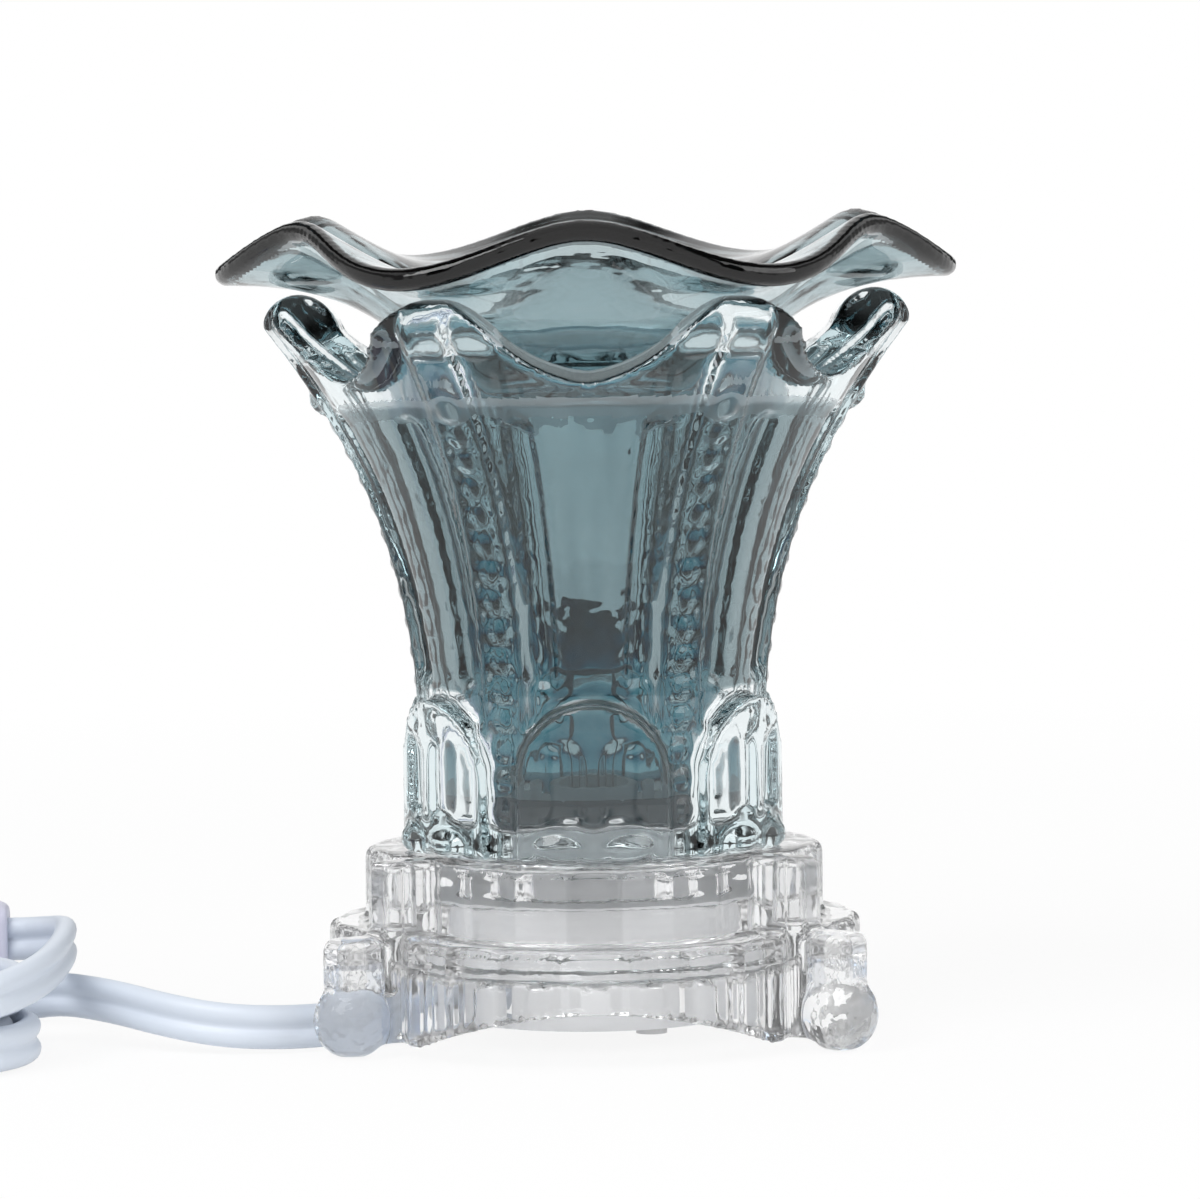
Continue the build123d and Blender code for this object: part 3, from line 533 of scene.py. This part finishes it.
# Flared body: clear pressed glass, with bead chains on its ribs and swellings under its tabs
body = {
    "voxel": 0.00075,
    "smoothing": 2,
    "lift": 0.0001,
    "ribs": 6,
    "beadTop": 0.0985,
    "beadBottom": 0.034,
    "beadPitch": 0.0045,
    "beadSize": (0.0017, 0.0021, 0.0012),   # half of its width, height and depth
    "beadSearch": 0.0002,
    "beadFrom": 0.09,        # radius from which the rib is looked for
    "beadMesh": (16, 10),
    "lipRadius": 0.0288,
    "lipHeight": 0.0317,
    "lipApart": 0.0046,
    "lipSize": (0.0046, 0.0016, 0.0022),    # half of its width, depth and height
    "lipMesh": (20, 12),
    "inwardLeast": 0.4,      # how far a face looks at the axis, to count as the inside
    "sidewaysLeast": 0.7,    # the same round the axis, for the notches' walls
    # heights at which the inside changes its finish, from the foot up, with painted shade at the foot and
    # painted light under the rim
    "tintBottom": 0.034,
    "darkTop": 0.0385,
    "rimBottom": 0.0992,
    "rimTop": 0.1025,
    "notchBottom": 0.1,
    "hornHalf": 18,          # degrees either side of the two side horns
}


def addBeads(bm):
    shell = cad["glass_body"]
    around, along = body["beadMesh"]
    for k in range(body["ribs"]):
        turn = radians(360 / body["ribs"] * (k + 0.5))
        out = Vector((sin(turn), -cos(turn), 0))
        z = body["beadTop"]
        last = None
        while z > body["beadBottom"]:
            hit, place, normal, face = shell.ray_cast(out * body["beadFrom"] + Vector((0, 0, z)), -out)
            if hit and (last is None or (place - last).length >= body["beadPitch"]):
                side = Vector((0, 0, 1)).cross(normal).normalized()
                stand = Matrix((side, normal.cross(side), normal)).transposed().to_4x4()
                scale = Matrix.Diagonal((*body["beadSize"], 1))
                bmesh.ops.create_uvsphere(
                    bm, u_segments=around, v_segments=along, radius=1.0,
                    matrix=Matrix.Translation(place) @ stand @ scale,
                )
                last = place
            z -= body["beadSearch"]


def addLips(bm):
    # two low swellings along the foot of each arched tab
    around, along = body["lipMesh"]
    scale = Matrix.Diagonal((*body["lipSize"], 1))
    for k in range(body["ribs"]):
        turn = Matrix.Rotation(radians(360 / body["ribs"] * k), 4, "Z")
        for side in (-1, 1):
            place = Matrix.Translation((side * body["lipApart"], -body["lipRadius"], body["lipHeight"]))
            bmesh.ops.create_uvsphere(
                bm, u_segments=around, v_segments=along, radius=1.0, matrix=turn @ place @ scale,
            )


def makeRelief():
    bm = bmesh.new()
    addBeads(bm)
    addLips(bm)
    return meshFrom(bm, "body_relief")


def bodyFinish(face):
    x, y, z = face.center
    reach = hypot(x, y)
    inward = -(x * face.normal.x + y * face.normal.y) / reach
    sideways = abs(x * face.normal.y - y * face.normal.x) / reach
    fromHorn = abs(abs(degrees(atan2(x, -y))) - 90)
    if inward > body["inwardLeast"] and z > body["tintBottom"]:
        # the lowest band of the inside gets painted shade
        if z < body["darkTop"]:
            return bodyFootPaintedShade
        if z < smoke["bottom"]:
            return bodyFootInside
        if z < body["rimBottom"]:
            return bodyInside
        # the band under the rim gets painted light
        if z < body["rimTop"]:
            return bodyPaintedLight
    # the notches' walls beside the peaks get painted light too
    elif sideways > body["sidewaysLeast"] and z > body["notchBottom"] and fromHorn > body["hornHalf"]:
        return bodyPaintedLight
    return bodyGlass


def makeBody():
    skin = softenedCopy("glass_body", body["voxel"], body["smoothing"], makeRelief())
    skin.transform(Matrix.Translation((0, 0, body["lift"])))
    placePiece("flared_glass_body", skin, bodyGlass, "base", "smoked_glass", "glass_body")
    paintFaces(skin, [bodyGlass, bodyInside, bodyFootInside, bodyPaintedLight, bodyFootPaintedShade], bodyFinish)


# Ruffled dish, with a painted shade along its rim for the dark edge of the thick glass
dish = {
    "voxel": 0.0006,
    "smoothing": 4,
    "rimRadius": 0.0542,
    "ruffle": 0.0031,
    "waves": 6,
    # width of the rim's painted shade
    "edge": 0.0024,
}


def dishFinish(face):
    x, y = face.center.xy
    rim = dish["rimRadius"] - dish["ruffle"] * cos(dish["waves"] * atan2(x, -y))
    return dishRimPaintedShade if hypot(x, y) > rim - dish["edge"] else smokedGlass


def makeDish():
    skin = softenedCopy("wax_dish", dish["voxel"], dish["smoothing"])
    placePiece("ruffled_dish", skin, smokedGlass, "dish", "smoked_glass", "wax_dish")
    paintFaces(skin, [smokedGlass, dishRimPaintedShade], dishFinish)


# Clear base with faceted lobes; the two ball feet in front have a glass of their own
base = {
    "voxel": 0.0006,
    "smoothing": 2,
    "lobes": 3,
    "lobeOffset": 0.011,
    "lobeReach": (0.0317, 0.026),
    "facets": 20,
    "hollow": 0.0006,
    # painted shade, standing in for the light and shade that each facet refracts
    "paintedShades": [1.0, 0.86, 0.97, 0.8, 1.0, 0.9, 0.83],   # lightness of one facet after another
    "tierShift": 3,          # facets by which the upper tier's shades are moved on
    "footSide": 0.0325,
    "footFront": -0.012,
    "footTop": 0.0135,
}


def hollowFacets(mesh):
    # each flat of the lobes is pressed in a little along its middle, and gets a painted shade of its own for
    # the light and shade that the facets refract
    sector = 2 * pi / base["lobes"]
    facet = 2 * pi / base["facets"]
    shade = mesh.color_attributes.new("facetPaintedShade", "FLOAT_COLOR", "POINT")
    paintedShades = base["paintedShades"]
    for vert in mesh.vertices:
        lobe = round(atan2(vert.co.x, -vert.co.y) / sector) * sector
        centre = Vector((sin(lobe), -cos(lobe))) * base["lobeOffset"]
        out = vert.co.xy - centre
        turn = atan2(out.x, -out.y) - lobe
        across = turn - round(turn / facet) * facet
        flat = out.length * cos(across)
        level = 1.0
        for tier, reach in enumerate(base["lobeReach"]):
            if abs(flat - reach) < base["voxel"]:
                level = paintedShades[(round(turn / facet) + base["tierShift"] * tier) % len(paintedShades)]
                share = 1 - (2 * across / facet) ** 2
                vert.co.xy -= out.normalized() * base["hollow"] * share
        shade.data[vert.index].color = (level, level, level, 1)


def baseFinish(face):
    x, y, z = face.center
    foot = abs(x) > base["footSide"] and y < base["footFront"] and z < base["footTop"]
    return footGlass if foot else clearGlass


def makeBase():
    skin = softenedCopy("clear_base", base["voxel"], base["smoothing"])
    hollowFacets(skin)
    placePiece("clear_foot", skin, clearGlass, "base", "clear_glass", "clear_base")
    paintFaces(skin, [clearGlass, footGlass], baseFinish)


def makeBulb():
    # the outer skin of the capsule alone, as its wall is too thin to see: all that joins its widest point
    bm = mergedCopy("bulb_glass")
    edge = [max(bm.verts, key=lambda vert: hypot(vert.co.x, vert.co.y))]
    outer = set(edge)
    while edge:
        vert = edge.pop()
        for link in vert.link_edges:
            other = link.other_vert(vert)
            if other not in outer:
                outer.add(other)
                edge.append(other)
    bmesh.ops.delete(bm, geom=[vert for vert in bm.verts if vert not in outer], context="VERTS")
    for face in bm.faces:
        face.smooth = True
    mesh = meshFrom(bm, "bulb_skin")
    print("bulb skin:", len(mesh.polygons), "of", len(cad["bulb_glass"].data.polygons), "faces")
    placePiece("capsule_skin", mesh, bulbGlass, "bulb", "clear_glass", "bulb_glass")


# Plug: the solid with its edges eased
plug = {"voxel": 0.0005, "smoothing": 6}


def makePlug():
    skin = softenedCopy("plug_body", plug["voxel"], plug["smoothing"])
    return placePiece("moulded_plug", skin, plugVinyl, "base", "cord_plastic", "plug_body")


makeSmoke()   # measures the body's node, so it comes before the body replaces it
makeBody()
makeDish()
makeBase()
makeBulb()
plugPiece = makePlug()
print("glass pieces and plug made")


# Flat twin cord, standing on its edge: lead, hank and tail on one line
cord = {
    "width": 0.0068,
    "thickness": 0.0034,
    "axisZ": 0.0037,
    "groove": 0.0008,
    "hankRightX": -0.108,
    "hankRun": 0.066,
    "hankFarY": 0.002,
    "hankRadius": 0.024,
    "hankPitch": 0.0042,
    "hankLoops": 3,
    "hankStep": 0.0074,
    "turnPoints": 4,
    "routeSteps": 6,
    "lobeSteps": 12,
    "lead": [
        (-0.0204, -0.0060, 0.0096), (-0.0270, -0.0080, 0.0076), (-0.0330, -0.0100, 0.0046),
        (-0.0400, -0.0130, 0.0037), (-0.0480, -0.0162, 0.0037), (-0.0570, -0.0170, 0.0042),
        (-0.0660, -0.0135, 0.0055), (-0.0750, -0.0065, 0.0070), (-0.0845, 0.0000, 0.0076),
        (-0.0940, 0.0020, 0.0051), (-0.1010, 0.0020, 0.0037),
    ],
    "tail": [
        (-0.0970, -0.0460, 0.0111), (-0.0884, -0.0375, 0.0123), (-0.0837, -0.0255, 0.0137),
        (-0.0821, -0.0125, 0.0149), (-0.0820, -0.0010, 0.0157), (-0.0830, 0.0066, 0.0154),
        (-0.0858, 0.0126, 0.0146), (-0.0906, 0.0160, 0.0140), (-0.0975, 0.0160, 0.0140),
    ],
    "length": 1.6,
}


def hankPoints(settings):
    # loops spiral in on the floor, climb on the innermost far run, and spiral out on top
    rightX = settings["hankRightX"]
    leftX = rightX - settings["hankRun"]
    middleY = settings["hankFarY"] - settings["hankRadius"]
    loops = settings["hankLoops"]
    radii = [settings["hankRadius"] - settings["hankPitch"] * k for k in range(loops + 1)]
    low = settings["axisZ"]
    high = low + settings["hankStep"]
    turns = [(radii[k], radii[k], radii[k + 1], low) for k in range(loops)]
    turns += [(radii[k + 1], radii[k], radii[k], high) for k in reversed(range(loops))]
    points = [(rightX, middleY + settings["hankRadius"], low)]
    for far, near, farNext, z in turns:
        points += halfTurn(leftX, middleY + far, middleY - near, z, -1, settings["turnPoints"])
        points += halfTurn(rightX, middleY - near, middleY + farNext, z, 1, settings["turnPoints"])
    lastTurn = settings["turnPoints"] + 2      # corners and two ends of the last half turn, which is left out
    return points[:-lastTurn] + [(rightX, middleY - settings["hankRadius"], high)]


def halfTurn(x, fromY, toY, z, side, count):
    # corners of the polygon that the half circle touches, and where its two runs end
    radius = abs(toY - fromY) / 2
    middle = (fromY + toY) / 2
    way = 1 if fromY > toY else -1
    step = pi / count
    reach = radius / cos(step / 2)
    corners = []
    for k in range(count):
        angle = step * (k + 0.5)
        corners.append((x + side * reach * sin(angle), middle + way * reach * cos(angle), z))
    return [(x, fromY, z)] + corners + [(x, toY, z)]


def makeRoute(points, steps):
    curve = bpy.data.curves.new("cordRoute", "CURVE")
    curve.dimensions = "3D"
    curve.resolution_u = steps
    spline = curve.splines.new("NURBS")
    spline.points.add(len(points) - 1)
    for point, place in zip(spline.points, points):
        point.co = (*place, 1)
    spline.order_u = 3
    spline.use_endpoint_u = True
    return curve


def makeSection(settings):
    # two round wires, three quarters of a circle each, with a web between them
    profile = bpy.data.curves.new("cordSection", "CURVE")
    profile.dimensions = "2D"
    lobe = settings["thickness"] / 2
    offset = settings["width"] / 2 - lobe
    neck = lobe - settings["groove"]
    section = []
    for side in (1, -1):
        section.append((side * neck, 0))
        for k in range(settings["lobeSteps"] + 1):
            angle = pi * (1.5 * k / settings["lobeSteps"] - 0.25)
            section.append((side * lobe * cos(angle), side * (offset + lobe * sin(angle))))
    ring = profile.splines.new("POLY")
    ring.points.add(len(section) - 1)
    for point, (x, y) in zip(ring.points, section):
        point.co = (x, y, 0, 1)
    ring.use_cyclic_u = True
    return bpy.data.objects.new("cordSection", profile)


def makeCord(settings):
    points = settings["lead"] + hankPoints(settings) + settings["tail"]
    curve = makeRoute(points, settings["routeSteps"])
    curve.twist_mode = "Z_UP"
    curve.bevel_mode = "OBJECT"
    curve.bevel_object = makeSection(settings)
    curve.use_fill_caps = True
    piece = bpy.data.objects.new("flat_twin_cord", curve)
    scene.collection.objects.link(piece)
    curve.materials.append(cordVinyl)
    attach(piece, "base")
    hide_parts("cord_lead", "cord_hank", "cord_tail")


makeCord(cord)
print("cord laid")
